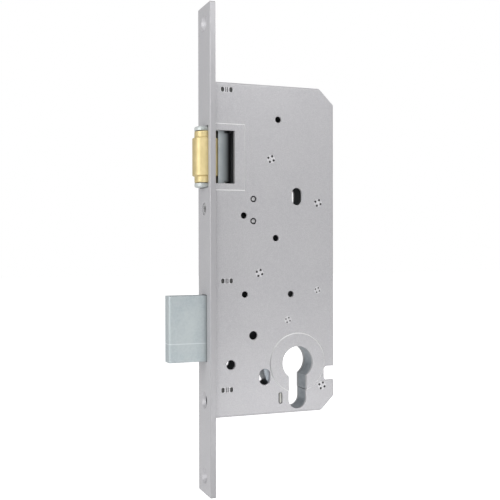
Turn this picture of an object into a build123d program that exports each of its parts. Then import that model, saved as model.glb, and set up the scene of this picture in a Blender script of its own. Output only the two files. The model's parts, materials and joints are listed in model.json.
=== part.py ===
"""Mortise lock with an adjustable roller latch and a deadbolt for a Euro-profile cylinder.

Frame: origin on the front face of the forend, midway between its two end screw holes.
+X runs from the forend into the door, +Y from the pan side to the cover side, +Z up.
All sizes are in millimetres.
"""
from build123d import *
from math import acos, asin, atan2, cos, degrees, hypot, radians, sin
import os

os.makedirs("parts", exist_ok=True)

# ---- forend -------------------------------------------------------------------------
forend_length = 253.0
forend_width = 20.0
forend_thickness = 3.0
forend_corner = 1.0
forend_edge = 0.3            # chamfer round the front face
forend_screw_inset = 9.5     # screw axis from each end of the forend
forend_screw_hole = 4.5
forend_screw_head = 8.4
opening_corner = 0.5         # corner radius of the latch and bolt openings

# ---- cylinder -----------------------------------------------------------------------
backset = 50.0
cylinder_z = -60.0
cylinder_hole = 17.5
cylinder_slot = 10.2
cylinder_total = 33.3
cylinder_screw_hole = 5.3
cylinder_screw_head = 8.6
cylinder_screw_drop = 18.0   # cylinder axis down to the fixing screw's axis

# ---- case ---------------------------------------------------------------------------
case_top = 86.5              # above the origin
slot_margin = 1.95           # below the cylinder's slot
rear_margin = 21.5           # behind the cylinder's axis
case_thickness = 12.0
sheet = 1.5
bend_radius = 1.2
chamfer_top = 9.0
chamfer_bottom = 8.0
pad_height = 0.5             # embossed pads that stand out of both side plates
pad_edge = 0.48
hole_edge = 0.15             # chamfer on the rims of the open holes

# ---- fits ---------------------------------------------------------------------------
running = 0.05               # radial clearance of a pin that turns in a hole
snug = 0.02                  # clearance between pieces fixed to each other
gap = 0.3                    # clearance between pieces that pass each other
side_gap = 0.15              # side clearance inside the case

# ---- deadbolt -----------------------------------------------------------------------
bolt_throw = 20.0
bolt_height = 34.0
bolt_thickness = 8.0
bolt_centre_z = cylinder_z + 19.65
bolt_rear = 13.0
bolt_lap = 8.0               # length of the lap joint between head and tail
bolt_nose = 0.7              # chamfer down the nose
bolt_round = 0.5             # rounding of the long edges
tail_near = 0.2
tail_thickness = 2.8
tail_top = cylinder_z + 34.0
rivet_diameter = 3.0
rivet_head = 5.0
rivet_inset = 5.0            # from the tail's top and bottom edges

# ---- driver -------------------------------------------------------------------------
driver_wall = 1.25           # round the cylinder's section, between the flanges
lug_height = 5.5             # from the hub out to the flanges' edge
driver_bearing = 0.1         # radial clearance of the flanges in the embossed pads
drive_height = 4.4           # from the hub to where the lug drives the bolt's talon
lug_width = 3.6
talon_half = 3.2
saddle_wall = 3.5            # outside the driver
saddle_half = 11.6
saddle_drop = 2.0            # top of the saddle below the cylinder's axis

# ---- tumbler ------------------------------------------------------------------------
tumbler_thickness = 2.8
tumbler_boss = 4.3
tumbler_drop = 10.6          # degrees from lifted to dropped
tumbler_arm = 4.6            # height of the arm
tumbler_belly = 7.0          # length of the belly that the driver lifts
stump_diameter = 3.6
stump_shank = 2.4
stump_edge = 1.2             # arm beyond the stump
arm_lift = 0.4               # middle of the arm above the stump
stump_x = backset - 8.0
stump_z = cylinder_z + 36.1

# ---- tumbler spring -----------------------------------------------------------------
torsion_wire = 0.6
torsion_radius = 3.2
torsion_pitch = 0.65
torsion_start = 1.4          # depth of the coil's first turn
torsion_turns = 3            # full turns, less the angle between the two legs
torsion_rise = 9.0           # end of the rear leg above the post
overreach = 0.5              # end of the front leg beyond the stump's middle

# ---- roller latch -------------------------------------------------------------------
latch_z = 47.95
roller_x = 0.65
roller_diameter = 13.4
roller_length = 19.1
roller_step = 0.6            # length of the cone between roller and collar
roller_round = 0.4
collar_diameter = 11.2
collar_length = 26.5
roller_pin_diameter = 4.0
pin_edge = 0.3               # chamfer on the ends of pins and rods
pocket_gap = 0.4
arm_thickness = 2.1
arm_radius = 5.6
arm_round = 0.8
web_wall = 1.75              # behind the roller's pocket, next to the arms
cradle_overhang = 1.1        # cradle behind the shoulders
cradle_round = 3.9
shoulder_thickness = 3.8
shoulder_step = 0.35         # behind the arms' round ends
shoulder_reach = 5.25        # behind the roller's pocket
window_margin = 1.5          # pan window behind the latch's shoulders
cover_window_margin = 0.5    # cover window behind them
window_slack = 0.15          # above and below the latch's arms
pad_margin = 3.6             # pad above and below the window
pad_overhang = 5.9           # pad behind the window

# ---- latch springs and rods ---------------------------------------------------------
rod_diameter = 3.0
rod_seat = 5.0               # depth of the rod in the fork
rod_length = 29.0
rod_hole_clearance = 0.1
spring_room = 20.0           # from the fork's shoulders to the yoke's ears
spring_wire = 0.6
spring_mean_radius = 2.3
spring_turns = 8
clip_radius = 2.8
clip_thickness = 0.8
clip_mouth = 1.6

# ---- adjuster -----------------------------------------------------------------------
adjuster_z = 21.2
adjuster_travel = 3.0
adjuster_head = 6.3
adjuster_head_depth = 0.4    # head below the forend's front face
adjuster_shank = 4.9
adjuster_collar = 8.4
adjuster_rear = 31.0
adjuster_socket = 3.6        # across the corners of the hexagon
socket_depth = 1.8
keeper_front = 5.1
keeper_thickness = 1.2
keeper_length = 12.5
yoke_plate = 1.2
yoke_front = 22.0
yoke_middle = 27.0
yoke_foot_rear = 31.8
yoke_foot_edge = 3.2         # below the lower guide pin
ear_thickness = 1.5
ear_height = 6.0
ear_wall = 1.4               # round the rod, towards the cover
guide_pin_x = 25.1
guide_pin_z = adjuster_z - 0.4
guide_pin_pitch = 11.5
guide_pin_diameter = 2.0
guide_pin_window = 1.4       # added to the pin's diameter in the pan
nut_front = 23.5
nut_length = 6.0
nut_side = 8.0
nut_wall = 0.8

# ---- posts: places in the side plates (x, z) ----------------------------------------
post_diameter = 5.6
lower_post_diameter = 5.2
post_neck = 4.6
pivot_diameter = 5.0
pivot_neck = 4.0
spacer_places = [(35.0, latch_z - 0.25), (backset + 12.2, 25.1), (28.4, -12.1)]
lower_post_room = 3.97       # from the driver to the lower post's axis
lower_post_angle = 42.3      # below the cylinder's axis
tumbler_post_at = (backset + 11.85, cylinder_z + 38.3)
guide_post_at = (backset - 5.4, cylinder_z + 22.8)
stake_angle = 22.0           # turn of the four punch marks
stake_depth = 0.8
stake_pitch = 2.3
stake_mark = 1.25
pivot_stake_pitch = 1.8
pivot_stake_mark = 0.9
pivot_stake_depth = 0.4
post_screw = 2.5
post_screw_length = 5.0
screw_head = 5.5
screw_slot_length = 3.4
screw_slot_width = 0.7
screw_slot_depth = 0.9
screw_slot_angle = 20.0

# ---- other holes in the side plates -------------------------------------------------
small_holes = [
    (39.15, 68.6),
    (19.8, adjuster_z - 3.3),
    (37.75, 6.2),
    (20.3, -23.2),
    (backset - 3.7, cylinder_z + 36.5),
]
small_hole = 3.4
middle_hole_at = (backset - 25.0, cylinder_z + 15.3)
middle_hole = 4.6
fixing_hole_at = (12.5, cylinder_z + 0.5)
fixing_hole = 5.0
sight_hole_room = 2.7        # from the embossed pad to the oval's axis
sight_hole_drop = 6.7        # below the cylinder's axis
sight_hole_width = 6.2
sight_hole_height = 8.6
passage_at = (backset - 0.15, 28.3)
passage_width = 5.8
passage_height = 9.2
notch_depth = 6.0
notch_height = 7.6
notch_z = cylinder_z - 6.5
notch_round = 2.0
notch_far_drop = 2.4         # how much lower the notch goes in the cover and the flange

# ---- brackets and tenons ------------------------------------------------------------
bracket_depth = 12.0
bracket_height = 7.4
bracket_above_bolt = 3.65
tenon_x = 10.4
tenon_length = 7.2
tenon_height = 3.0
tenon_shifts = [1.4, 0.0, -0.95]  # tenon above the middle of its bracket
tenon_dent = 0.8             # depth of the punch marks in the tenons
dent_spacing = 2.3           # from the tenon's middle to its two round marks
dent_height = 2.6
dent_width = 1.8
dent_groove = 0.5            # width of the two grooves in the middle
saddle_tenon_shift = (-9.8, -0.35)  # from the cylinder screw's axis at the cylinder
saddle_tenon_length = 5.3
saddle_tenon_width = 1.1
saddle_slot_length = 6.2
saddle_slot_width = 2.2
saddle_screw_room = 0.2      # radial room for the cylinder's screw

# ---- worked out from the sizes above ------------------------------------------------
half_case = case_thickness / 2
inner_half = half_case - sheet
driver_hub_radius = cylinder_hole / 2 + driver_wall
driver_radius = driver_hub_radius + lug_height
lug_reach = driver_hub_radius + drive_height
lug_angle = degrees(asin(bolt_throw / 2 / lug_reach))  # left of straight up
saddle_radius = driver_radius + saddle_wall
case_rear = backset + rear_margin
case_inside_rear = case_rear - sheet
slot_radius = cylinder_slot / 2
slot_end_z = cylinder_z + cylinder_hole / 2 - cylinder_total + slot_radius
case_bottom = slot_end_z - slot_radius - slot_margin
case_height = case_top - case_bottom
case_middle = (case_top + case_bottom) / 2
cylinder_screw_z = cylinder_z - cylinder_screw_drop
forend_screw_z = forend_length / 2 - forend_screw_inset
pad_recess = driver_radius + driver_bearing
pad_radius = pad_recess + gap
sight_hole_at = (backset - pad_radius - sight_hole_room, cylinder_z - sight_hole_drop)
lower_post_reach = driver_radius + lower_post_room
lower_post = (
    backset + lower_post_reach * cos(radians(lower_post_angle)),
    cylinder_z - lower_post_reach * sin(radians(lower_post_angle)),
)
tail_far = tail_near + tail_thickness
tail_rear = backset - 0.5
tail_bottom = cylinder_z + driver_hub_radius + gap
driver_half = inner_half + pad_height - side_gap
driver_flange_inner = tail_far + 0.2
tumbler_near = -tail_far
tumbler_far = tumbler_near + tumbler_thickness
latch_half = inner_half - side_gap
roller_radius = roller_diameter / 2
pocket_radius = roller_radius + pocket_gap
shoulder_front = roller_x + arm_radius + shoulder_step
shoulder_rear = roller_x + pocket_radius + shoulder_reach
web_rear = roller_x + pocket_radius + web_wall
cradle_rear = shoulder_rear + cradle_overhang
window_depth = shoulder_rear + window_margin
cover_window_depth = shoulder_rear + cover_window_margin
pad_depth = window_depth + pad_overhang
arm_inner = collar_length / 2 + gap
arm_outer = arm_inner + arm_thickness
window_half = arm_inner + window_slack
pad_half = window_half + pad_margin
rod_offset = arm_inner + shoulder_thickness / 2
rods_z = [latch_z - rod_offset, latch_z + rod_offset]
cradle_half = rod_offset - spring_mean_radius - spring_wire / 2 - gap
rod_front = shoulder_rear - rod_seat
rod_rear = rod_front + rod_length
ear_front = shoulder_rear + spring_room
ear_rear = ear_front + ear_thickness
ear_far = rod_diameter / 2 + rod_hole_clearance + ear_wall
guide_pins_z = [guide_pin_z - guide_pin_pitch / 2, guide_pin_z + guide_pin_pitch / 2]
screwed_posts = spacer_places + [lower_post]
saddle_tenon_at = (backset + saddle_tenon_shift[0], cylinder_screw_z + saddle_tenon_shift[1])
brackets_z = [
    case_top - sheet - bracket_height / 2,
    bolt_centre_z + bolt_height / 2 + bracket_above_bolt + bracket_height / 2,
    cylinder_screw_z + cylinder_screw_hole / 2 + gap + bracket_height / 2,
]
tenons_z = [z + shift for z, shift in zip(brackets_z, tenon_shifts)]


def slab(y):
    """Plane of the side plates at depth y; an extrusion from it runs towards -Y."""
    return Plane.XZ.offset(-y)


def case_outline():
    """Side view of the case, behind the forend, with its two cut rear corners."""
    Polyline(
        (forend_thickness, case_bottom),
        (case_rear - chamfer_bottom, case_bottom),
        (case_rear, case_bottom + chamfer_bottom),
        (case_rear, case_top - chamfer_top),
        (case_rear - chamfer_top, case_top),
        (forend_thickness, case_top),
        close=True,
    )


def profile_sketch(clearance=0.0, mode=Mode.ADD):
    """Keyhole-shaped section of the Euro cylinder, drawn into the current sketch."""
    with Locations((backset, cylinder_z)):
        Circle(cylinder_hole / 2 + clearance, mode=mode)
    with Locations((backset, slot_end_z)):
        Circle(slot_radius + clearance, mode=mode)
    slot_height = cylinder_z - slot_end_z
    with Locations((backset, slot_end_z + slot_height / 2)):
        Rectangle(cylinder_slot + 2 * clearance, slot_height, mode=mode)


def plate_openings(latch_window, notch_drop):
    """Every hole that goes through both side plates, drawn into the current sketch."""
    profile_sketch()
    with Locations(*small_holes):
        Circle(small_hole / 2)
    with Locations(middle_hole_at):
        Circle(middle_hole / 2)
    with Locations(fixing_hole_at):
        Circle(fixing_hole / 2)
    with Locations(sight_hole_at):
        SlotOverall(sight_hole_height, sight_hole_width, rotation=90)
    with Locations(passage_at):
        SlotOverall(passage_height, passage_width, rotation=90)
    with Locations((case_rear, notch_z - notch_drop / 2)):
        RectangleRounded(2 * notch_depth, notch_height + notch_drop, notch_round)
    with Locations((latch_window / 2, latch_z)):
        Rectangle(latch_window, 2 * window_half)


def latch_pad():
    """Outline of the embossed pad round the latch window."""
    with Locations(((forend_thickness + pad_depth) / 2, latch_z)):
        Rectangle(pad_depth - forend_thickness, 2 * pad_half)


def cylinder_pad():
    """Outline of the embossed pad round the cylinder hole."""
    with Locations((backset, cylinder_z)):
        Circle(pad_radius)


def open_hole_rims(part, face_y):
    """Edges of the open holes of a side plate, in its outer face."""
    places = small_holes + [middle_hole_at, fixing_hole_at, sight_hole_at, passage_at]
    reach = passage_height / 2 + 0.1
    return part.edges().filter_by(
        lambda e: abs(e.center().Y - face_y) < 0.01
        and any(hypot(e.center().X - x, e.center().Z - z) < reach for x, z in places)
    )


# ======================================================================================
# Forend plate with its latch, bolt and screw openings
# ======================================================================================
with BuildPart() as forend_plate:
    with BuildSketch(Plane.YZ):
        RectangleRounded(forend_width, forend_length, forend_corner)
        with Locations((0, latch_z)):
            RectangleRounded(
                2 * pocket_radius, 2 * (arm_outer + gap), opening_corner, mode=Mode.SUBTRACT
            )
        with Locations((0, bolt_centre_z)):
            RectangleRounded(
                bolt_thickness + 2 * gap,
                bolt_height + 2 * gap,
                opening_corner,
                mode=Mode.SUBTRACT,
            )
    extrude(amount=forend_thickness)
    front_edges = forend_plate.edges().filter_by(lambda e: abs(e.center().X) < 0.01)
    rim_edges = front_edges.filter_by(lambda e: abs(e.center().Y) > forend_width / 2 - 0.01)
    chamfer(rim_edges, forend_edge)
    front_face = Plane(origin=(0, 0, 0), x_dir=(0, -1, 0), z_dir=(-1, 0, 0))
    with Locations(front_face):
        with Locations((0, forend_screw_z), (0, -forend_screw_z)):
            CounterSinkHole(
                forend_screw_hole / 2, forend_screw_head / 2, counter_sink_angle=90
            )
        with Locations((0, cylinder_screw_z)):
            CounterSinkHole(
                cylinder_screw_hole / 2, cylinder_screw_head / 2, counter_sink_angle=90
            )
        with Locations((0, adjuster_z)):
            Hole(adjuster_head / 2 + snug + running)
forend_plate.part.label = "forend_plate"
export_step(forend_plate.part, "parts/forend_plate.step")

# ======================================================================================
# Case pan: near side plate with bent top, rear and bottom flanges
# ======================================================================================
with BuildPart() as case_pan:
    with BuildSketch(slab(-inner_half)):
        with BuildLine():
            case_outline()
        make_face()
    extrude(amount=sheet)
    flange_height = 2 * inner_half
    with BuildSketch(slab(inner_half)):
        rim_top = case_rear - chamfer_top
        rim_bottom = case_rear - chamfer_bottom
        with Locations(((forend_thickness + rim_top) / 2, case_top - sheet / 2)):
            Rectangle(rim_top - forend_thickness, sheet)
        with Locations(((forend_thickness + rim_bottom) / 2, case_bottom + sheet / 2)):
            Rectangle(rim_bottom - forend_thickness, sheet)
        rear_low = case_bottom + chamfer_bottom
        rear_high = case_top - chamfer_top
        with Locations((case_rear - sheet / 2, (rear_low + rear_high) / 2)):
            Rectangle(sheet, rear_high - rear_low)
    extrude(amount=flange_height)
    bends = case_pan.edges().filter_by(lambda e: abs(e.center().Y + half_case) < 0.01)
    level_bends = bends.filter_by(
        lambda e: abs(e.center().Z - case_middle) > case_height / 2 - 0.01
    )
    rear_bend = bends.filter_by(lambda e: e.center().X > case_rear - 0.01)
    fillet(level_bends + rear_bend, bend_radius)
    with BuildSketch(slab(-half_case)):
        cylinder_pad()
        latch_pad()
    extrude(amount=pad_height)
    pad_rims = case_pan.edges().filter_by(
        lambda e: abs(e.center().Y + half_case + pad_height) < 0.01
        and e.center().X > forend_thickness + 0.1
    )
    chamfer(pad_rims, pad_edge)
    with BuildSketch(slab(-inner_half)):
        with Locations((backset, cylinder_z)):
            Circle(pad_recess)
    extrude(amount=pad_height, mode=Mode.SUBTRACT)
    with BuildSketch(slab(half_case)):
        plate_openings(window_depth, 0)
    extrude(amount=2 * case_thickness, mode=Mode.SUBTRACT)
    with BuildSketch(slab(inner_half)):
        with Locations((case_rear, notch_z - notch_far_drop / 2)):
            Rectangle(2 * notch_depth, notch_height + notch_far_drop)
    extrude(amount=2 * inner_half, mode=Mode.SUBTRACT)
    with BuildSketch(slab(-inner_half + 1)):
        with Locations(*screwed_posts):
            Circle(post_neck / 2 + snug)
        with Locations(tumbler_post_at, guide_post_at):
            Circle(pivot_neck / 2 + snug)
        with Locations(*[(tenon_x, z) for z in tenons_z]):
            SlotOverall(tenon_length + 2 * snug, tenon_height + 2 * snug)
        with Locations(saddle_tenon_at):
            SlotOverall(saddle_slot_length, saddle_slot_width, rotation=90)
        with Locations(*[(guide_pin_x, z) for z in guide_pins_z]):
            Circle((guide_pin_diameter + guide_pin_window) / 2)
    extrude(amount=sheet + 2, mode=Mode.SUBTRACT)
    chamfer(open_hole_rims(case_pan, -half_case), hole_edge)
case_pan.part.label = "case_pan"
export_step(case_pan.part, "parts/case_pan.step")

# ======================================================================================
# Case cover: flat plate on the far side, screwed to the posts
# ======================================================================================
with BuildPart() as case_cover:
    with BuildSketch(slab(half_case)):
        with BuildLine():
            case_outline()
        make_face()
    extrude(amount=sheet)
    with BuildSketch(slab(half_case + pad_height)):
        cylinder_pad()
        latch_pad()
    extrude(amount=pad_height)
    pad_rims = case_cover.edges().filter_by(
        lambda e: abs(e.center().Y - half_case - pad_height) < 0.01
        and e.center().X > forend_thickness + 0.1
    )
    chamfer(pad_rims, pad_edge)
    with BuildSketch(slab(inner_half + pad_height)):
        with Locations((backset, cylinder_z)):
            Circle(pad_recess)
    extrude(amount=pad_height, mode=Mode.SUBTRACT)
    with BuildSketch(slab(half_case + 2 * pad_height)):
        plate_openings(cover_window_depth, notch_far_drop)
    extrude(amount=case_thickness, mode=Mode.SUBTRACT)
    with BuildSketch(slab(half_case + 1)):
        with Locations(tumbler_post_at, guide_post_at):
            Circle(pivot_neck / 2 + snug)
        with Locations(*[(guide_pin_x, z) for z in guide_pins_z]):
            Circle(guide_pin_diameter / 2 + snug)
    extrude(amount=sheet + 2, mode=Mode.SUBTRACT)
    chamfer(open_hole_rims(case_cover, half_case), hole_edge)
    cover_face = Plane(origin=(0, half_case, 0), x_dir=(-1, 0, 0), z_dir=(0, 1, 0))
    with Locations(cover_face):
        with Locations(*[(-x, z) for x, z in screwed_posts]):
            CounterSinkHole(
                post_screw / 2 + snug,
                screw_head / 2 + snug,
                depth=sheet,
                counter_sink_angle=90,
            )
case_cover.part.label = "case_cover"
export_step(case_cover.part, "parts/case_cover.step")


# ======================================================================================
# Posts between the side plates, staked into the pan with four punch marks each
# ======================================================================================
def staked_neck(x, z, diameter, pitch, mark, depth):
    """Neck of a post through the pan, with four punch marks in its end."""
    with BuildSketch(slab(-inner_half)) as neck:
        with Locations((x, z)):
            Circle(diameter / 2)
    extrude(neck.sketch, amount=sheet)
    with BuildSketch(slab(-half_case + depth)) as marks:
        with Locations(Location((x, z), stake_angle)):
            with GridLocations(pitch, pitch, 2, 2):
                Circle(mark / 2)
    extrude(marks.sketch, amount=sheet, mode=Mode.SUBTRACT)


def shank(x, z, diameter):
    """Post from inner face to inner face."""
    with BuildSketch(slab(inner_half)) as section:
        with Locations((x, z)):
            Circle(diameter / 2)
    extrude(section.sketch, amount=2 * inner_half)


def pivot_post(x, z):
    """Post that carries a moving piece, staked in the pan and plain in the cover."""
    shank(x, z, pivot_diameter)
    staked_neck(x, z, pivot_neck, pivot_stake_pitch, pivot_stake_mark, pivot_stake_depth)
    with BuildSketch(slab(half_case)) as far_neck:
        with Locations((x, z)):
            Circle(pivot_neck / 2)
    extrude(far_neck.sketch, amount=sheet)


with BuildPart() as spacer_posts:
    for x, z in screwed_posts:
        shank(x, z, lower_post_diameter if (x, z) == lower_post else post_diameter)
        staked_neck(x, z, post_neck, stake_pitch, stake_mark, stake_depth)
    with BuildSketch(slab(inner_half)):
        with Locations(*screwed_posts):
            Circle(post_screw / 2 + snug)
    extrude(amount=post_screw_length, mode=Mode.SUBTRACT)
spacer_posts.part.label = "spacer_posts"
export_step(spacer_posts.part, "parts/spacer_posts.step")

with BuildPart() as tumbler_post:
    pivot_post(*tumbler_post_at)
tumbler_post.part.label = "tumbler_post"
export_step(tumbler_post.part, "parts/tumbler_post.step")

with BuildPart() as bolt_guide_post:
    pivot_post(*guide_post_at)
bolt_guide_post.part.label = "bolt_guide_post"
export_step(bolt_guide_post.part, "parts/bolt_guide_post.step")

# ======================================================================================
# Countersunk screws that hold the cover to the posts
# ======================================================================================
with BuildPart() as cover_screws:
    with BuildSketch(slab(half_case)):
        with Locations(*screwed_posts):
            Circle(post_screw / 2)
    extrude(amount=sheet + post_screw_length - gap)
    head_depth = (screw_head - post_screw) / 2
    for x, z in screwed_posts:
        with BuildSketch(slab(half_case)):
            with Locations((x, z)):
                Circle(screw_head / 2)
        with BuildSketch(slab(half_case - head_depth)):
            with Locations((x, z)):
                Circle(post_screw / 2)
        loft()
    with BuildSketch(slab(half_case)):
        with Locations(*screwed_posts):
            Rectangle(screw_slot_length, screw_slot_width, rotation=screw_slot_angle)
            Rectangle(screw_slot_width, screw_slot_length, rotation=screw_slot_angle)
    extrude(amount=screw_slot_depth, mode=Mode.SUBTRACT)
cover_screws.part.label = "cover_screws"
export_step(cover_screws.part, "parts/cover_screws.step")

# ======================================================================================
# Brackets that hold the forend to the case, with tenons staked through the pan
# ======================================================================================
with BuildPart() as forend_brackets:
    for z, block_z in zip(tenons_z, brackets_z):
        with BuildSketch(slab(inner_half)):
            with Locations((forend_thickness + bracket_depth / 2, block_z)):
                Rectangle(bracket_depth, bracket_height)
        extrude(amount=2 * inner_half)
        with BuildSketch(slab(-inner_half)):
            with Locations((tenon_x, z)):
                SlotOverall(tenon_length, tenon_height)
        extrude(amount=sheet)
        with BuildSketch(slab(-half_case + tenon_dent)):
            for side in (-1, 1):
                with Locations((tenon_x + side * dent_spacing, z)):
                    SlotOverall(dent_height, dent_width, rotation=90)
                with Locations((tenon_x + side * dent_groove, z)):
                    Rectangle(dent_groove, dent_height)
        extrude(amount=sheet, mode=Mode.SUBTRACT)
forend_brackets.part.label = "forend_brackets"
export_step(forend_brackets.part, "parts/forend_brackets.step")

# ======================================================================================
# Cylinder saddle: fixed block that carries on the cylinder's slot below the driver
# ======================================================================================
saddle_top = cylinder_z - saddle_drop
saddle_low = case_bottom + sheet
with BuildPart() as cylinder_saddle:
    with BuildSketch(slab(inner_half)):
        with Locations((backset, cylinder_z)):
            Circle(saddle_radius)
        with Locations((backset, (saddle_low + cylinder_z) / 2)):
            Rectangle(2 * saddle_half, cylinder_z - saddle_low)
        with Locations((backset, saddle_top + case_height / 2)):
            Rectangle(4 * saddle_radius, case_height, mode=Mode.SUBTRACT)
        with Locations((backset + saddle_half + saddle_radius, cylinder_z)):
            Rectangle(2 * saddle_radius, 4 * saddle_radius, mode=Mode.SUBTRACT)
        with Locations((backset, saddle_low - saddle_radius)):
            Rectangle(4 * saddle_radius, 2 * saddle_radius, mode=Mode.SUBTRACT)
        with Locations((backset, cylinder_z)):
            Circle(driver_radius + gap, mode=Mode.SUBTRACT)
    extrude(amount=2 * inner_half)
    with BuildSketch(slab(half_case)):
        profile_sketch()
    extrude(amount=case_thickness, mode=Mode.SUBTRACT)
    with BuildSketch(Plane.YZ.offset(backset)):
        with Locations((0, cylinder_screw_z)):
            Circle(cylinder_screw_hole / 2 + saddle_screw_room)
    extrude(amount=-2 * saddle_radius, mode=Mode.SUBTRACT)
    with BuildSketch(slab(-inner_half)):
        with Locations(saddle_tenon_at):
            SlotOverall(saddle_tenon_length, saddle_tenon_width, rotation=90)
    extrude(amount=sheet)
cylinder_saddle.part.label = "cylinder_saddle"
export_step(cylinder_saddle.part, "parts/cylinder_saddle.step")

# ======================================================================================
# Driver: open ring that the cylinder's cam turns, with two flanges and one lug
# ======================================================================================
with BuildPart() as driver:
    with BuildSketch(slab(driver_half)):
        with Locations((backset, cylinder_z)):
            Circle(driver_radius)
    extrude(amount=2 * driver_half)
    with BuildSketch(slab(driver_flange_inner)):
        with Locations((backset, cylinder_z)):
            Circle(driver_radius + 1)
            Circle(driver_hub_radius, mode=Mode.SUBTRACT)
            lug_middle = (driver_hub_radius + driver_radius) / 2
            with PolarLocations(lug_middle, 1, start_angle=90 + lug_angle):
                Rectangle(lug_height + 1, lug_width, mode=Mode.SUBTRACT)
        profile_sketch(driver_wall, mode=Mode.SUBTRACT)
    extrude(amount=2 * driver_flange_inner, mode=Mode.SUBTRACT)
    with BuildSketch(slab(half_case + pad_height)):
        profile_sketch(2 * running)
    extrude(amount=2 * (half_case + pad_height), mode=Mode.SUBTRACT)
driver.part.label = "driver"
export_step(driver.part, "parts/driver.step")

# ======================================================================================
# Deadbolt: solid head lapped and riveted to a plate tail
# ======================================================================================
with BuildPart() as bolt_head:
    with BuildSketch(slab(bolt_thickness / 2)):
        with Locations(((bolt_rear - bolt_throw) / 2, bolt_centre_z)):
            Rectangle(bolt_rear + bolt_throw, bolt_height)
    extrude(amount=bolt_thickness)
    nose = bolt_head.faces().sort_by(Axis.X)[0].edges()
    chamfer(nose.filter_by(Axis.Z), bolt_nose)
    long_edges = bolt_head.edges().filter_by(Axis.X)
    fillet(long_edges, bolt_round)
    lap_start = bolt_rear - bolt_lap
    with BuildSketch(slab(bolt_thickness / 2 + 1)):
        with Locations((bolt_rear, bolt_centre_z)):
            Rectangle(2 * bolt_lap, bolt_height + 2)
    extrude(amount=bolt_thickness / 2 + 1 - tail_near, mode=Mode.SUBTRACT)
    rivet_x = bolt_rear - bolt_lap / 2
    rivet_places = [(rivet_x, tail_top - rivet_inset), (rivet_x, tail_bottom + rivet_inset)]
    with BuildSketch(slab(half_case)):
        with Locations(*rivet_places):
            Circle(rivet_diameter / 2 + snug)
    extrude(amount=case_thickness, mode=Mode.SUBTRACT)
bolt_head.part.label = "bolt_head"
export_step(bolt_head.part, "parts/bolt_head.step")

drop = radians(tumbler_drop)
stump_arm_x = stump_x - tumbler_post_at[0]
stump_arm_z = stump_z - tumbler_post_at[1]
stump_dropped_x = tumbler_post_at[0] + stump_arm_x * cos(drop) - stump_arm_z * sin(drop)
stump_dropped_z = tumbler_post_at[1] + stump_arm_x * sin(drop) + stump_arm_z * cos(drop)
notch_left = stump_x - stump_diameter / 2 - gap
notch_right = stump_dropped_x + stump_diameter / 2 + gap
notch_bottom = stump_dropped_z - stump_diameter / 2 - gap
talon_x = backset - bolt_throw / 2
tail_slot_front = guide_post_at[0] - bolt_throw - pivot_diameter / 2 - gap
tail_slot_rear = guide_post_at[0] + pivot_diameter / 2 + gap
with BuildPart() as bolt_tail:
    with BuildSketch(slab(tail_far)):
        with Locations(((lap_start + tail_rear) / 2, (tail_top + tail_bottom) / 2)):
            Rectangle(tail_rear - lap_start, tail_top - tail_bottom)
        with Locations(((tail_slot_front + tail_slot_rear) / 2, guide_post_at[1])):
            SlotOverall(
                tail_slot_rear - tail_slot_front, pivot_diameter + 2 * running, mode=Mode.SUBTRACT
            )
        talon_top = cylinder_z + driver_radius + gap
        with Locations((talon_x, (talon_top + tail_bottom) / 2)):
            Rectangle(2 * talon_half, talon_top - tail_bottom + 0.001, mode=Mode.SUBTRACT)
        notch_x = (notch_left + notch_right) / 2
        for shift in (0, -bolt_throw):
            with Locations((notch_x + shift, (tail_top + notch_bottom) / 2)):
                Rectangle(
                    notch_right - notch_left, tail_top - notch_bottom + 0.001, mode=Mode.SUBTRACT
                )
        with Locations(*rivet_places):
            Circle(rivet_diameter / 2 + snug, mode=Mode.SUBTRACT)
    extrude(amount=tail_thickness)
bolt_tail.part.label = "bolt_tail"
export_step(bolt_tail.part, "parts/bolt_tail.step")

with BuildPart() as bolt_rivets:
    with BuildSketch(slab(tail_far)):
        with Locations(*rivet_places):
            Circle(rivet_diameter / 2)
    extrude(amount=tail_far + bolt_thickness / 2)
    with BuildSketch(slab(bolt_thickness / 2)):
        with Locations(*rivet_places):
            Circle(rivet_head / 2)
    extrude(amount=bolt_thickness / 2 - tail_far)
bolt_rivets.part.label = "bolt_rivets"
export_step(bolt_rivets.part, "parts/bolt_rivets.step")

# ======================================================================================
# Tumbler: lever on its post, with a stump that drops into the tail's notches
# ======================================================================================
belly_left = guide_post_at[0] + pivot_diameter / 2 + gap
belly_right = belly_left + tumbler_belly
arm_left = stump_x - stump_diameter / 2 - stump_edge
with BuildPart() as tumbler:
    with BuildSketch(slab(tumbler_far)):
        with Locations(tumbler_post_at):
            Circle(tumbler_boss)
        with Locations(((arm_left + tumbler_post_at[0]) / 2, stump_z + arm_lift)):
            Rectangle(tumbler_post_at[0] - arm_left, tumbler_arm)
        belly_low = cylinder_z + driver_hub_radius
        with Locations(((belly_left + belly_right) / 2, (belly_low + stump_z) / 2)):
            Rectangle(belly_right - belly_left, stump_z - belly_low)
        with Locations((backset, cylinder_z)):
            Circle(driver_radius + gap, mode=Mode.SUBTRACT)
        with Locations(tumbler_post_at):
            Circle(pivot_diameter / 2 + running, mode=Mode.SUBTRACT)
        with Locations((stump_x, stump_z)):
            Circle(stump_shank / 2 + snug, mode=Mode.SUBTRACT)
    extrude(amount=tumbler_thickness)
tumbler.part.label = "tumbler"
export_step(tumbler.part, "parts/tumbler.step")

with BuildPart() as tumbler_stump:
    with BuildSketch(slab(tail_far)):
        with Locations((stump_x, stump_z)):
            Circle(stump_diameter / 2)
    extrude(amount=tail_far - tumbler_far)
    with BuildSketch(slab(tumbler_far)):
        with Locations((stump_x, stump_z)):
            Circle(stump_shank / 2)
    extrude(amount=tumbler_thickness)
tumbler_stump.part.label = "tumbler_stump"
export_step(tumbler_stump.part, "parts/tumbler_stump.step")

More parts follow.
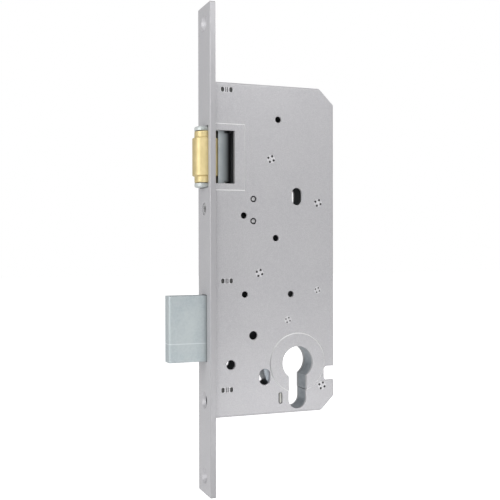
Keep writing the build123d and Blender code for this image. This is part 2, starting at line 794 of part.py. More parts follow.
# ======================================================================================
# Tumbler spring: torsion coil round the tumbler post with two straight legs
# ======================================================================================
post_x, post_z = tumbler_post_at
front_end = (stump_x - overreach, stump_z + stump_diameter / 2 + torsion_wire / 2 + gap / 2)
rear_end = (case_inside_rear - torsion_wire, post_z + torsion_rise)


def leg_length(place):
    """Length of the straight leg from place to the coil."""
    return (hypot(place[0] - post_x, place[1] - post_z) ** 2 - torsion_radius**2) ** 0.5


def leg_angle(place, side):
    """Angle, from +X towards +Z, at which the leg from place meets the coil."""
    away_x = place[0] - post_x
    away_z = place[1] - post_z
    touch = acos(torsion_radius / hypot(away_x, away_z))
    return degrees(atan2(away_z, away_x) + side * touch)


first_angle = leg_angle(front_end, -1)
last_angle = leg_angle(rear_end, 1)
coil_turns = torsion_turns + (first_angle - last_angle) / 360
coil_start = (post_x, torsion_start, post_z)
with BuildPart() as tumbler_spring:
    with BuildLine() as spring_path:
        coil = Helix(
            pitch=torsion_pitch,
            height=torsion_pitch * coil_turns,
            radius=torsion_radius,
            center=coil_start,
            direction=(0, 1, 0),
            mode=Mode.PRIVATE,
        ).rotate(Axis(coil_start, (0, 1, 0)), 90 - first_angle)
        front_leg = Line(coil @ 0 - (coil % 0) * leg_length(front_end), coil @ 0)
        add(coil)
        rear_leg = Line(coil @ 1, coil @ 1 + (coil % 1) * leg_length(rear_end))
    with BuildSketch(Plane(origin=front_leg @ 0, z_dir=front_leg % 0)):
        Circle(torsion_wire / 2)
    sweep(path=spring_path.line)
tumbler_spring.part.label = "tumbler_spring"
export_step(tumbler_spring.part, "parts/tumbler_spring.step")

# ======================================================================================
# Roller latch: fork with a cradle behind the roller, roller, pin, rods, clips, springs
# ======================================================================================
with BuildPart() as latch_fork:
    with BuildSketch(Plane.XY.offset(latch_z - arm_outer)):
        with Locations((roller_x, 0)):
            Circle(arm_radius)
            Rectangle(4 * arm_radius, 2 * latch_half, mode=Mode.INTERSECT)
        with Locations(((roller_x + shoulder_rear) / 2, 0)):
            Rectangle(shoulder_rear - roller_x, 2 * latch_half)
    extrude(amount=2 * arm_outer)
    arm_rims = latch_fork.edges().filter_by(
        lambda e: abs(abs(e.center().Z - latch_z) - arm_outer) < 0.01
        and e.center().X < shoulder_rear - 0.01
    )
    fillet(arm_rims, arm_round)
    for side in (-1, 1):
        shoulder_middle = latch_z + side * (arm_inner + shoulder_thickness / 2)
        with Locations(((shoulder_front + shoulder_rear) / 2, 0, shoulder_middle)):
            Box(shoulder_rear - shoulder_front, 2 * latch_half, shoulder_thickness)
    with Locations((roller_x, 0, latch_z)):
        Box(4 * shoulder_rear, 4 * latch_half, 2 * arm_inner, mode=Mode.SUBTRACT)
    with Locations(((roller_x + web_rear) / 2, 0, latch_z)):
        Box(web_rear - roller_x, 2 * latch_half, 2 * arm_inner)
    with BuildSketch(Plane.XY.offset(latch_z - cradle_half)) as cradle:
        with Locations(((roller_x + cradle_rear) / 2, 0)):
            Rectangle(cradle_rear - roller_x, 2 * latch_half)
        fillet(cradle.vertices().group_by(Axis.X)[-1], cradle_round)
    extrude(amount=2 * cradle_half)
    with Locations((roller_x, 0, latch_z)):
        Cylinder(pocket_radius, 2 * arm_inner, mode=Mode.SUBTRACT)
        Cylinder(roller_pin_diameter / 2 + snug, 4 * arm_outer, mode=Mode.SUBTRACT)
    with BuildSketch(Plane.YZ.offset(rod_front)):
        with Locations(*[(0, z) for z in rods_z]):
            Circle(rod_diameter / 2 + snug)
    extrude(amount=rod_seat, mode=Mode.SUBTRACT)
latch_fork.part.label = "latch_fork"
export_step(latch_fork.part, "parts/latch_fork.step")

with BuildPart() as latch_roller:
    with BuildSketch(Plane.XZ):
        with BuildLine():
            Polyline(
                (roller_x, latch_z - collar_length / 2),
                (roller_x + collar_diameter / 2, latch_z - collar_length / 2),
                (roller_x + collar_diameter / 2, latch_z - roller_length / 2 - roller_step),
                (roller_x + roller_radius, latch_z - roller_length / 2),
                (roller_x + roller_radius, latch_z + roller_length / 2),
                (roller_x + collar_diameter / 2, latch_z + roller_length / 2 + roller_step),
                (roller_x + collar_diameter / 2, latch_z + collar_length / 2),
                (roller_x, latch_z + collar_length / 2),
                close=True,
            )
        make_face()
    revolve(axis=Axis((roller_x, 0, 0), (0, 0, 1)))
    rims = latch_roller.edges().filter_by(GeomType.CIRCLE).sort_by(Axis.Z)
    fillet([rims[0], rims[-1]], roller_round)
    with Locations((roller_x, 0, latch_z)):
        Cylinder(roller_pin_diameter / 2 + running, 2 * collar_length, mode=Mode.SUBTRACT)
latch_roller.part.label = "latch_roller"
export_step(latch_roller.part, "parts/latch_roller.step")

with BuildPart() as roller_pin:
    with Locations((roller_x, 0, latch_z)):
        Cylinder(roller_pin_diameter / 2, 2 * (arm_outer - pin_edge))
    chamfer(roller_pin.edges().filter_by(GeomType.CIRCLE), pin_edge)
roller_pin.part.label = "roller_pin"
export_step(roller_pin.part, "parts/roller_pin.step")

with BuildPart() as guide_rods:
    with BuildSketch(Plane.YZ.offset(rod_front)):
        with Locations(*[(0, z) for z in rods_z]):
            Circle(rod_diameter / 2)
    extrude(amount=rod_rear - rod_front)
    chamfer(guide_rods.edges().filter_by(lambda e: e.center().X > rod_rear - 0.01), pin_edge)
guide_rods.part.label = "guide_rods"
export_step(guide_rods.part, "parts/guide_rods.step")

clip_front = ear_rear + 2 * rod_hole_clearance
with BuildPart() as rod_clips:
    with BuildSketch(Plane.YZ.offset(clip_front)):
        for z in rods_z:
            with Locations((0, z)):
                Circle(clip_radius)
                Circle(rod_diameter / 2 + snug, mode=Mode.SUBTRACT)
            with Locations((clip_radius, z)):
                Rectangle(2 * clip_radius, clip_mouth, mode=Mode.SUBTRACT)
    extrude(amount=clip_thickness)
rod_clips.part.label = "rod_clips"
export_step(rod_clips.part, "parts/rod_clips.step")

spring_front = shoulder_rear + spring_wire / 2 + rod_hole_clearance
spring_rear = ear_front - spring_wire / 2 - rod_hole_clearance
with BuildPart() as latch_springs:
    for z in rods_z:
        with BuildLine() as spring_line:
            spring_coil = Helix(
                pitch=(spring_rear - spring_front) / spring_turns,
                height=spring_rear - spring_front,
                radius=spring_mean_radius,
                center=(spring_front, 0, z),
                direction=(1, 0, 0),
            )
        with BuildSketch(Plane(origin=spring_coil @ 0, z_dir=spring_coil % 0)):
            Circle(spring_wire / 2)
        sweep(path=spring_line.line, is_frenet=True)
latch_springs.part.label = "latch_springs"
export_step(latch_springs.part, "parts/latch_springs.step")

# ======================================================================================
# Latch adjuster: captive screw, keeper, nut, yoke and the pins that guide the yoke
# ======================================================================================
with BuildPart() as adjusting_screw:
    head_plane = Plane.YZ.offset(adjuster_head_depth)
    with BuildSketch(head_plane):
        with Locations((0, adjuster_z)):
            Circle(adjuster_head / 2)
    extrude(amount=forend_thickness)
    with BuildSketch(Plane.YZ.offset(forend_thickness + gap)):
        with Locations((0, adjuster_z)):
            Circle(adjuster_collar / 2)
    extrude(amount=keeper_front - gap - forend_thickness - gap)
    with BuildSketch(Plane.YZ.offset(forend_thickness)):
        with Locations((0, adjuster_z)):
            Circle(adjuster_shank / 2)
    extrude(amount=adjuster_rear - forend_thickness)
    chamfer(adjusting_screw.faces().sort_by(Axis.X)[-1].edges(), pin_edge)
    with BuildSketch(head_plane):
        with Locations((0, adjuster_z)):
            RegularPolygon(adjuster_socket / 2, 6)
    extrude(amount=socket_depth, mode=Mode.SUBTRACT)
adjusting_screw.part.label = "adjusting_screw"
export_step(adjusting_screw.part, "parts/adjusting_screw.step")

with BuildPart() as screw_keeper:
    with BuildSketch(Plane.YZ.offset(keeper_front)):
        with Locations((0, adjuster_z)):
            Rectangle(2 * inner_half, keeper_length)
            Circle(adjuster_shank / 2 + 2 * running, mode=Mode.SUBTRACT)
    extrude(amount=keeper_thickness)
screw_keeper.part.label = "screw_keeper"
export_step(screw_keeper.part, "parts/screw_keeper.step")

yoke_near = -inner_half + side_gap
yoke_inner = yoke_near + yoke_plate
ear_low = rods_z[0] - ear_height / 2
ear_high = rods_z[1] + ear_height / 2
foot_bottom = guide_pins_z[0] - yoke_foot_edge
foot_top = ear_low + ear_height / 2
stem_rear = spacer_places[0][0] - post_diameter / 2 - gap
pin_slot_front = guide_pin_x - guide_pin_diameter / 2 - gap
pin_slot_rear = guide_pin_x + guide_pin_diameter / 2 + gap + adjuster_travel
with BuildPart() as adjuster_yoke:
    with BuildSketch(slab(yoke_inner)):
        with Locations(((yoke_front + yoke_foot_rear) / 2, (foot_bottom + foot_top) / 2)):
            Rectangle(yoke_foot_rear - yoke_front, foot_top - foot_bottom)
        with Locations(((yoke_middle + stem_rear) / 2, (ear_low + ear_high) / 2)):
            Rectangle(stem_rear - yoke_middle, ear_high - ear_low)
        with Locations(*[((yoke_middle + ear_rear) / 2, z) for z in rods_z]):
            Rectangle(ear_rear - yoke_middle, ear_height)
        with Locations(*[((pin_slot_front + pin_slot_rear) / 2, z) for z in guide_pins_z]):
            SlotOverall(
                pin_slot_rear - pin_slot_front,
                guide_pin_diameter + 2 * running,
                mode=Mode.SUBTRACT,
            )
    extrude(amount=yoke_plate)
    with Locations(*[((ear_front + ear_rear) / 2, (yoke_inner + ear_far) / 2, z) for z in rods_z]):
        Box(ear_thickness, ear_far - yoke_inner, ear_height)
    with BuildSketch(Plane.YZ.offset(ear_front - 1)):
        with Locations(*[(0, z) for z in rods_z]):
            Circle(rod_diameter / 2 + rod_hole_clearance)
    extrude(amount=ear_thickness + 2, mode=Mode.SUBTRACT)
adjuster_yoke.part.label = "adjuster_yoke"
export_step(adjuster_yoke.part, "parts/adjuster_yoke.step")

nut_far = adjuster_shank / 2 + nut_wall
with BuildPart() as adjuster_nut:
    with Locations((nut_front + nut_length / 2, (yoke_inner + nut_far) / 2, adjuster_z)):
        Box(nut_length, nut_far - yoke_inner, nut_side)
    with BuildSketch(Plane.YZ.offset(nut_front - 1)):
        with Locations((0, adjuster_z)):
            Circle(adjuster_shank / 2 + running)
    extrude(amount=nut_length + 2, mode=Mode.SUBTRACT)
adjuster_nut.part.label = "adjuster_nut"
export_step(adjuster_nut.part, "parts/adjuster_nut.step")

with BuildPart() as yoke_guide_pins:
    with BuildSketch(slab(half_case)):
        with Locations(*[(guide_pin_x, z) for z in guide_pins_z]):
            Circle(guide_pin_diameter / 2)
    extrude(amount=case_thickness)
    near_rims = yoke_guide_pins.edges().filter_by(lambda e: e.center().Y < -half_case + 0.01)
    chamfer(near_rims, pin_edge)
yoke_guide_pins.part.label = "yoke_guide_pins"
export_step(yoke_guide_pins.part, "parts/yoke_guide_pins.step")
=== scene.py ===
import json
import math

import bpy
from mathutils import Matrix, Vector


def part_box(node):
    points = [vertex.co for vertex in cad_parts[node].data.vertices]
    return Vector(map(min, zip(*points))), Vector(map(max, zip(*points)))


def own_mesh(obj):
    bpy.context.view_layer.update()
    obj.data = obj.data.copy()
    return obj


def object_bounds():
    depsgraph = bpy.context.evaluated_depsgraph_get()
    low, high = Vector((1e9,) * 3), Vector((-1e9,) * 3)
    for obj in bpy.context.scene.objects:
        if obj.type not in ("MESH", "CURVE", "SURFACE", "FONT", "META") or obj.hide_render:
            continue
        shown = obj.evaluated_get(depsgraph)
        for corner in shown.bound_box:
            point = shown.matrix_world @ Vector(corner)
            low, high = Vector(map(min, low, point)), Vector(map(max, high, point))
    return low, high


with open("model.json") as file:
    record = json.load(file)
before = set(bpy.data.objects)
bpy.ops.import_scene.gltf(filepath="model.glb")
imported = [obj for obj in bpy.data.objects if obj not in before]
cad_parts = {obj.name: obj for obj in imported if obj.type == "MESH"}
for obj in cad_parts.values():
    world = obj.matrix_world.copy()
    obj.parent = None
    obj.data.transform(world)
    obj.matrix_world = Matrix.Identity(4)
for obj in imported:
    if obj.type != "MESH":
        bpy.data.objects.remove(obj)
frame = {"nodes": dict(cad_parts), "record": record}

cad_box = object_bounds()
nodes = frame["nodes"]
MM = 0.001

# ---- camera ---------------------------------------------------------------------------
CAMERA_PLACE = Vector((-0.135614, -0.423109, 0.002491))
CAMERA_YAW = math.radians(20.83)      # turned from +Y towards +X
CAMERA_PITCH = math.radians(-0.327)
CAMERA_ROLL = math.radians(-0.084)
SENSOR_WIDTH = 36.0                   # mm
CAMERA_LENS = 61.68                   # mm
CLIP_NEAR = 0.01
CLIP_FAR = 20.0

# ---- studio ---------------------------------------------------------------------------
SURROUND_LIGHT = 0.42                 # what the object sees around it
BACKDROP_LIGHT = 1.0                  # what the camera sees behind it
FLOOR_GLOW = 0.75                     # keeps the floor white for the camera
FLOOR_SPILL = 0.20                    # how strongly that glow lights the object
FLOOR_SIZE = 6.0
CENTRE = Vector((0.03, 0.0, 0.0))     # the soft boxes point at it, or above or below it
SOFT_BOXES = [
    # name, place, width, height, power in watts, height above CENTRE that it points at
    ("front", (-0.45, -0.80, 0.20), 0.50, 0.70, 1.3, 0.0),
    ("left", (-0.75, -0.14, 0.20), 0.22, 0.60, 2.3, 0.0),
    ("upper", (0.02, -0.17, 0.20), 0.25, 0.06, 0.24, 0.08),
    ("lower", (0.06, -0.15, -0.11), 0.20, 0.02, 0.055, -0.08),
]

# ---- room inside the case, worked out from the pan, whose flanges end at its inner face
SHEET = 0.0015               # thickness of the pan's sheet
SKIN = 0.0002                # width over which a mask goes from 0 to 1
pan_low, pan_high = (Vector(corner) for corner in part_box("case_pan"))
inside_middle = Vector(((pan_low.x + pan_high.x) / 2 - SHEET, 0, (pan_low.z + pan_high.z) / 2))
inside_half = Vector((
    (pan_high.x - pan_low.x) / 2,
    pan_high.y + SKIN,
    (pan_high.z - pan_low.z) / 2 - SHEET + SKIN,
))
staked_half = inside_half + Vector((0, SHEET - 2 * SKIN, 0))   # down to the punch marks
ROOM_SHADE = (0.17, 0.18, 0.19)
PUNCH_SHADE = (0.10, 0.10, 0.10)
STAKED_LIFT = 0.12           # the staked ends are lighter than the plates: partly bare staked metal, partly painted highlight on its bulge

# ---- embossed pads, whose rims get a painted highlight where they face down, up or back, and painted shade where they face the sides
PAD_RISE = 0.0005            # height of the pads
RIM_LIGHT_FROM = 0.01 * MM        # the painted highlight starts this far above the plate's face
RIM_LIGHT_FULL = 0.03 * MM        # and is full from here on
RIM_LIGHT_SIDE = 0.6              # weight of facing back, against 1 for facing down or up
plate_face = -pan_low.y - PAD_RISE

# ---- the forend's long cut edges, painted in shade slightly darker than its faces
forend_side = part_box("forend_plate")[1][1]
EDGE_SHADE = (0.40, 0.395, 0.41)
EDGE_ROUND = 0.0006          # width of the rounding beside them

# ---- the bolt: painted shade just in front of the forend, with one faint light line
ROOT_SHADE = 0.0018          # width of the painted shade
LINE_SHARE = 0.28            # height of the line, as a share of the bolt's height
LINE_FULL = 0.1 * MM         # half the line's width where it is full
LINE_OVER = 0.3 * MM         # and where it ends
bolt_foot, bolt_top = (corner[2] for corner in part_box("bolt_head"))
drawn_line = bolt_foot + LINE_SHARE * (bolt_top - bolt_foot)

# ---- the saddle: painted light in the lower part of the cylinder's slot, where its floor faces the light from above
saddle_low = Vector(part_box("cylinder_saddle")[0])
SLOT_FOOT = 0.011            # the painted light ends this far above the saddle's foot
SLOT_FADE = 0.007            # and fades over this height
SLOT_FROM = 0.024            # it starts this far behind the saddle's front

# ---- the fork: painted shade darkens its cradle towards the rear
fork_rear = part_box("latch_fork")[1][0]
CRADLE_FADE = 0.0115         # the painted shade starts this far before the cradle's rear
CRADLE_DARK = 0.002          # and is full black shade from here on


# ======================================================================================
# Material helpers: every pattern is in object space
# ======================================================================================
class Surface:
    """A node material with a Principled shader and a few pattern helpers."""

    SPECULAR = 0.5           # the shader's own specular level

    def __init__(self, name):
        self.material = bpy.data.materials.new(name)
        self.material.use_nodes = True
        self.tree = self.material.node_tree
        self.tree.nodes.clear()
        self.shader = self.add("ShaderNodeBsdfPrincipled")
        output = self.add("ShaderNodeOutputMaterial")
        self.link(self.shader.outputs["BSDF"], output.inputs["Surface"])
        self.coords = self.add("ShaderNodeTexCoord")

    def add(self, kind, **settings):
        """A new node with its settings."""
        node = self.tree.nodes.new(kind)
        for key, value in settings.items():
            setattr(node, key, value)
        return node

    def link(self, output, socket):
        self.tree.links.new(output, socket)

    def set(self, **values):
        """Sets the shader's own sockets; an underscore stands for a space."""
        for key, value in values.items():
            self.shader.inputs[key.replace("_", " ")].default_value = value

    def stretched(self, factors):
        """Object coordinates scaled along each axis."""
        mapping = self.add("ShaderNodeMapping")
        mapping.inputs["Scale"].default_value = factors
        self.link(self.coords.outputs["Object"], mapping.inputs["Vector"])
        return mapping.outputs["Vector"]

    def along(self, axis):
        """One of the object coordinates, in metres."""
        split = self.add("ShaderNodeSeparateXYZ")
        self.link(self.coords.outputs["Object"], split.inputs["Vector"])
        return split.outputs[axis]

    def noise(self, grain_mm, detail=3.0, roughness=0.55, factors=(1, 1, 1)):
        """Noise whose features are about grain_mm across."""
        node = self.add("ShaderNodeTexNoise")
        node.inputs["Scale"].default_value = 1 / (grain_mm * MM)
        node.inputs["Detail"].default_value = detail
        node.inputs["Roughness"].default_value = roughness
        self.link(self.stretched(factors), node.inputs["Vector"])
        return node.outputs["Fac"]

    def spread(self, value, low, high, near=0.35, far=0.65):
        """Maps a pattern from near..far to low..high."""
        node = self.add("ShaderNodeMapRange")
        node.inputs["From Min"].default_value = near
        node.inputs["From Max"].default_value = far
        node.inputs["To Min"].default_value = low
        node.inputs["To Max"].default_value = high
        self.link(value, node.inputs["Value"])
        return node.outputs["Result"]

    def math(self, operation, first, second=0.0):
        """One sum on sockets or numbers."""
        node = self.add("ShaderNodeMath", operation=operation)
        for socket, value in zip(node.inputs, (first, second)):
            if hasattr(value, "links"):
                self.link(value, socket)
            else:
                socket.default_value = value
        return node.outputs[0]

    def facing(self, axis):
        """How far the surface faces along one axis, from -1 to 1."""
        geometry = self.add("ShaderNodeNewGeometry")
        split = self.add("ShaderNodeSeparateXYZ")
        self.link(geometry.outputs["True Normal"], split.inputs["Vector"])
        return split.outputs[axis]

    def inside(self, room=inside_half):
        """1 within the room inside the case, 0 outside."""
        shift = self.add("ShaderNodeVectorMath", operation="SUBTRACT")
        self.link(self.coords.outputs["Object"], shift.inputs[0])
        shift.inputs[1].default_value = inside_middle
        size = self.add("ShaderNodeVectorMath", operation="ABSOLUTE")
        self.link(shift.outputs[0], size.inputs[0])
        split = self.add("ShaderNodeSeparateXYZ")
        self.link(size.outputs[0], split.inputs["Vector"])
        result = None
        for axis, half in zip("XYZ", room):
            near = half - SKIN
            mask = self.spread(split.outputs[axis], 1, 0, near=near, far=half)
            result = mask if result is None else self.math("MULTIPLY", result, mask)
        return result

    def blend(self, factor, first, second):
        """Mixes two colours, or sockets that carry colours."""
        node = self.add("ShaderNodeMix", data_type="RGBA")
        self.link(factor, node.inputs["Factor"])
        for name, value in (("A", first), ("B", second)):
            socket = [s for s in node.inputs if s.name == name and s.type == "RGBA"][0]
            if hasattr(value, "links"):
                self.link(value, socket)
            else:
                socket.default_value = (*value, 1)
        return [s for s in node.outputs if s.type == "RGBA"][0]

    def two_tone(self, pattern, first, second):
        """Colour that varies between two tones with a pattern."""
        return self.blend(self.spread(pattern, 0, 1), first, second)

    def color(self, socket):
        self.link(socket, self.shader.inputs["Base Color"])

    def rough(self, socket):
        self.link(socket, self.shader.inputs["Roughness"])

    def dark_inside(self, socket, shade, specular=0.15, room=inside_half):
        """Colour that falls to shade inside the case, with weaker highlights there."""
        inside = self.inside(room)
        self.color(self.blend(inside, socket, shade))
        level = self.spread(inside, self.SPECULAR, specular, near=0, far=1)
        self.link(level, self.shader.inputs["Specular IOR Level"])

    def bump(self, patterns):
        """Chains bumps: (pattern, height in mm) each."""
        normal = None
        for pattern, height in patterns:
            node = self.add("ShaderNodeBump")
            node.inputs["Strength"].default_value = 1.0
            node.inputs["Distance"].default_value = height * MM
            self.link(pattern, node.inputs["Height"])
            if normal is not None:
                self.link(normal, node.inputs["Normal"])
            normal = node.outputs["Normal"]
        self.link(normal, self.shader.inputs["Normal"])


# ======================================================================================
# Finishes
# ======================================================================================
def pad_rim_light(s, base, depth):
    """Paints light and shade on the rims of the embossed pads: a painted highlight where they
    face down, up or back, painted shade where they face the sides.
    """
    slope = s.spread(depth, 0, 1, near=plate_face + RIM_LIGHT_FROM, far=plate_face + RIM_LIGHT_FULL)
    ledge = s.math("SUBTRACT", 1, s.math("ABSOLUTE", s.facing("Y")))
    rim = s.math("MULTIPLY", slope, s.spread(ledge, 0, 1, near=0.1, far=0.2))
    behind = s.spread(s.along("X"), 0, 1, near=pan_low.x, far=pan_low.x + SKIN)
    rim = s.math("MULTIPLY", rim, behind)
    side = s.math("MULTIPLY", s.facing("X"), RIM_LIGHT_SIDE)
    lean = s.math("ADD", s.math("ABSOLUTE", s.facing("Z")), side)
    share = s.spread(lean, 0, 1, near=-0.4, far=0.75)
    # painted shade on rims that face the sides, painted highlight on rims that face down, up
    # or back
    rim_light_and_shade = s.blend(share, (0.30, 0.30, 0.31), (0.9, 0.9, 0.9))
    return s.blend(rim, base, rim_light_and_shade)


def steel_coat(name, room, shade, lift=0.0):
    """Satin silver-grey coat on sheet steel, with a very fine grain, painted shade in room,
    painted shade on the forend's long edges, and painted highlight and shade on the pad rims.
    """
    s = Surface(name)
    cloud = s.noise(18.0, detail=2.0)
    grain = s.noise(0.55, detail=2.0, roughness=0.7)
    speck = s.noise(1.6, detail=3.0, roughness=0.7)
    tones = [
        (0.485, 0.478, 0.500),
        (0.51, 0.503, 0.52),
        (0.55, 0.545, 0.56),
        (0.40, 0.40, 0.415),
        EDGE_SHADE,
    ]
    first, second, light, dark, shaded_edge = ([part + lift for part in tone] for tone in tones)
    base = s.two_tone(cloud, first, second)
    base = s.blend(s.spread(speck, 0, 0.8), base, light)
    base = s.blend(s.spread(grain, 0.6, 0), base, dark)
    depth = s.math("ABSOLUTE", s.along("Y"))
    # painted shade over the forend's long edges and the rounding beside them
    rounding = forend_side - EDGE_ROUND
    edge_shade_mask = s.spread(depth, 0, 1, near=rounding, far=forend_side - EDGE_ROUND / 2)
    base = s.blend(edge_shade_mask, base, shaded_edge)
    base = pad_rim_light(s, base, depth)
    s.dark_inside(base, shade, room=room)
    s.rough(s.spread(speck, 0.38, 0.48))
    s.set(Metallic=0.2)
    s.bump([(speck, 0.014), (grain, 0.014)])
    return s.material


def plated_zinc():
    """Blue-white zinc plating, mottled, with faint upright marks, one light line and painted
    shade just in front of the forend.
    """
    s = Surface("plated_zinc")
    cloud = s.noise(7.0, detail=4.0, roughness=0.6, factors=(1, 1, 0.6))
    streak = s.noise(0.8, detail=3.0, factors=(1, 1, 0.06))
    mottle = s.noise(1.3, detail=4.0, roughness=0.65)
    base = s.two_tone(cloud, (0.39, 0.44, 0.465), (0.465, 0.51, 0.52))
    base = s.blend(s.spread(streak, 0.2, 0), base, (0.42, 0.47, 0.475))
    base = s.blend(s.spread(mottle, 0, 0.45), base, (0.53, 0.58, 0.585))
    off_line = s.math("ABSOLUTE", s.math("SUBTRACT", s.along("Z"), drawn_line))
    line = s.spread(off_line, 0.45, 0, near=LINE_FULL, far=LINE_OVER)
    base = s.blend(line, base, (0.78, 0.82, 0.83))
    # painted shade on the bolt just in front of the forend
    root_shade = s.spread(s.along("X"), 0, 0.6, near=-ROOT_SHADE, far=0)
    base = s.blend(root_shade, base, (0.16, 0.18, 0.185))
    s.dark_inside(base, (0.06, 0.065, 0.07))
    s.rough(s.spread(cloud, 0.46, 0.56))
    s.set(Metallic=0.3)
    s.bump([(cloud, 0.010), (streak, 0.004), (mottle, 0.012)])
    return s.material


def zinc_casting():
    """As-cast zinc alloy, slightly uneven, bluer inside and painted light at the slot's foot.
    """
    s = Surface("zinc_casting")
    cloud = s.noise(3.0, detail=4.0, roughness=0.6)
    grain = s.noise(0.5, detail=2.0)
    outer = s.two_tone(cloud, (0.30, 0.30, 0.28), (0.38, 0.38, 0.36))
    inner = s.two_tone(cloud, (0.26, 0.29, 0.32), (0.36, 0.39, 0.42))
    # painted light on the floor of the cylinder's slot
    foot = saddle_low.z + SLOT_FOOT
    low = s.spread(s.along("Z"), 1, 0, near=foot - SLOT_FADE, far=foot)
    slot = s.spread(s.along("X"), 0, 1, near=saddle_low.x, far=saddle_low.x + SLOT_FROM)
    light = s.math("MULTIPLY", low, s.math("FLOOR", slot))
    inner = s.blend(light, inner, (0.95, 0.95, 0.94))
    s.color(s.blend(s.inside(), outer, inner))
    s.rough(s.spread(grain, 0.3, 0.45))
    s.set(Metallic=0.45)
    s.bump([(cloud, 0.012), (grain, 0.005)])
    return s.material


def fork_casting():
    """Zinc alloy of the fork: grey outside; blue-grey inside, painted lighter for the light
    through the window, then painted shade down its cradle.
    """
    s = Surface("fork_casting")
    cloud = s.noise(3.0, detail=4.0, roughness=0.6)
    outer = s.two_tone(cloud, (0.50, 0.535, 0.525), (0.58, 0.61, 0.60))
    # inside the case the cradle is painted lighter, for the light through the window
    inner = s.two_tone(cloud, (0.66, 0.73, 0.77), (0.74, 0.80, 0.83))
    # painted shade down the cradle towards its rear
    light_end = fork_rear - CRADLE_FADE
    dark_end = fork_rear - CRADLE_DARK
    fade = s.spread(s.along("X"), 0, 1, near=light_end, far=dark_end)
    inner = s.blend(fade, inner, (0.012, 0.013, 0.015))
    s.color(s.blend(s.inside(), outer, inner))
    s.rough(s.spread(cloud, 0.42, 0.52))
    s.set(Metallic=0.3)
    s.bump([(cloud, 0.012)])
    return s.material


def turned_brass():
    """Brass turned on a lathe: fine rings round the roller's axis."""
    s = Surface("turned_brass")
    rings = s.noise(0.35, detail=3.0, factors=(0.02, 0.02, 1))
    cloud = s.noise(4.0, detail=2.0)
    base = s.two_tone(cloud, (0.61, 0.50, 0.25), (0.67, 0.55, 0.285))
    base = s.blend(s.spread(rings, 0.10, 0), base, (0.51, 0.40, 0.175))
    s.color(base)
    s.rough(s.spread(rings, 0.42, 0.46))
    s.set(Metallic=0.5)
    s.bump([(rings, 0.0004)])
    return s.material


def bright_zinc():
    """Bright zinc on turned pins, posts and screws."""
    s = Surface("bright_zinc")
    cloud = s.noise(1.5, detail=3.0)
    base = s.two_tone(cloud, (0.46, 0.46, 0.47), (0.56, 0.56, 0.56))
    s.dark_inside(base, (0.12, 0.12, 0.13))
    s.rough(s.spread(cloud, 0.3, 0.42))
    s.set(Metallic=0.5)
    s.bump([(cloud, 0.006)])
    return s.material


def spring_wire():
    """Dark drawn wire."""
    s = Surface("spring_wire")
    cloud = s.noise(1.0, detail=3.0)
    s.color(s.two_tone(cloud, (0.16, 0.16, 0.17), (0.24, 0.24, 0.25)))
    s.rough(s.spread(cloud, 0.28, 0.4))
    s.set(Metallic=0.9)
    s.bump([(cloud, 0.004)])
    return s.material


def painted_shade_steel():
    """Plates inside the case, painted near-black as shade."""
    s = Surface("painted_shade_steel")
    cloud = s.noise(2.0, detail=3.0)
    s.color(s.two_tone(cloud, (0.020, 0.020, 0.023), (0.035, 0.035, 0.038)))
    s.rough(s.spread(cloud, 0.4, 0.55))
    s.set(Metallic=0.6)
    s.bump([(cloud, 0.004)])
    return s.material


def floor_paint():
    """Plain white floor that runs into the white surroundings."""
    s = Surface("floor_paint")
    cloud = s.noise(60.0, detail=2.0)
    s.color(s.two_tone(cloud, (0.93, 0.93, 0.93), (0.95, 0.95, 0.95)))
    s.set(Roughness=0.9, Emission_Color=(1, 1, 1, 1))
    seen = s.add("ShaderNodeLightPath").outputs["Is Camera Ray"]
    glow = s.spread(seen, FLOOR_SPILL, FLOOR_GLOW, near=0, far=1)
    s.link(glow, s.shader.inputs["Emission Strength"])
    return s.material


# ======================================================================================
# Finish of each CAD node
# ======================================================================================
finishes = {
    "case_steel": steel_coat("case_coat", inside_half, ROOM_SHADE),
    "staked_steel": steel_coat("staked_coat", staked_half, PUNCH_SHADE, lift=STAKED_LIFT),
    "plated_bolt": plated_zinc(),
    "zinc_casting": zinc_casting(),
    "roller_brass": turned_brass(),
    "zinc_steel": bright_zinc(),
    "spring_steel": spring_wire(),
    "dark_steel": painted_shade_steel(),
}
own_finishes = {"latch_fork": fork_casting()}
for subpart in frame["record"]["subparts"]:
    node = nodes[subpart["node"]]
    finish = own_finishes.get(subpart["node"], finishes[subpart["material_slot"]])
    for slot in node.material_slots:
        slot.material = finish
    if not node.material_slots:
        node.data.materials.append(finish)


# ======================================================================================
# Floor, lights, camera
# ======================================================================================
def studio_floor():
    """Large plane under the object."""
    half = FLOOR_SIZE / 2
    z = cad_box[0][2]
    mesh = bpy.data.meshes.new("floor")
    corners = [(-half, -half, z), (half, -half, z), (half, half, z), (-half, half, z)]
    mesh.from_pydata(corners, [], [(0, 1, 2, 3)])
    mesh.materials.append(floor_paint())
    floor = bpy.data.objects.new("floor", mesh)
    bpy.context.scene.collection.objects.link(floor)


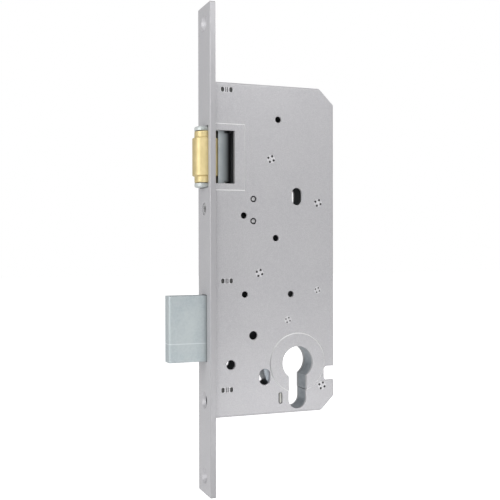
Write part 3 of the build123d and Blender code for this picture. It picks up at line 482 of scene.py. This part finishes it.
def soft_box(name, place, width, height, power, aim_z):
    """A soft box that points at the object, aim_z above its centre."""
    data = bpy.data.lights.new(name, "AREA")
    data.shape = "RECTANGLE"
    data.size = width
    data.size_y = height
    data.energy = power
    light = bpy.data.objects.new(name, data)
    aim = CENTRE + Vector((0, 0, aim_z)) - Vector(place)
    light.rotation_euler = aim.to_track_quat("-Z", "Y").to_euler()
    light.location = place
    bpy.context.scene.collection.objects.link(light)


def white_world():
    """White backdrop for the camera, softer light for everything else."""
    world = bpy.data.worlds.new("studio")
    world.use_nodes = True
    tree = world.node_tree
    tree.nodes.clear()
    rays = tree.nodes.new("ShaderNodeLightPath")
    level = tree.nodes.new("ShaderNodeMapRange")
    level.inputs["To Min"].default_value = SURROUND_LIGHT
    level.inputs["To Max"].default_value = BACKDROP_LIGHT
    background = tree.nodes.new("ShaderNodeBackground")
    background.inputs["Color"].default_value = (1, 1, 1, 1)
    output = tree.nodes.new("ShaderNodeOutputWorld")
    tree.links.new(rays.outputs["Is Camera Ray"], level.inputs["Value"])
    tree.links.new(level.outputs["Result"], background.inputs["Strength"])
    tree.links.new(background.outputs["Background"], output.inputs["Surface"])
    bpy.context.scene.world = world


def set_camera():
    """Camera at the photograph's viewing angle."""
    data = bpy.data.cameras.new("camera")
    data.sensor_width = SENSOR_WIDTH
    data.lens = CAMERA_LENS
    data.clip_start = CLIP_NEAR
    data.clip_end = CLIP_FAR
    camera = bpy.data.objects.new("camera", data)
    turn = (
        Matrix.Rotation(-CAMERA_YAW, 4, "Z")
        @ Matrix.Rotation(math.pi / 2 + CAMERA_PITCH, 4, "X")
        @ Matrix.Rotation(CAMERA_ROLL, 4, "Z")
    )
    camera.matrix_world = Matrix.Translation(CAMERA_PLACE) @ turn
    bpy.context.scene.collection.objects.link(camera)
    bpy.context.scene.camera = camera


studio_floor()
white_world()
for box_settings in SOFT_BOXES:
    soft_box(*box_settings)
set_camera()
bpy.context.scene.view_settings.view_transform = "Standard"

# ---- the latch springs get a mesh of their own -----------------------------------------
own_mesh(nodes["latch_springs"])
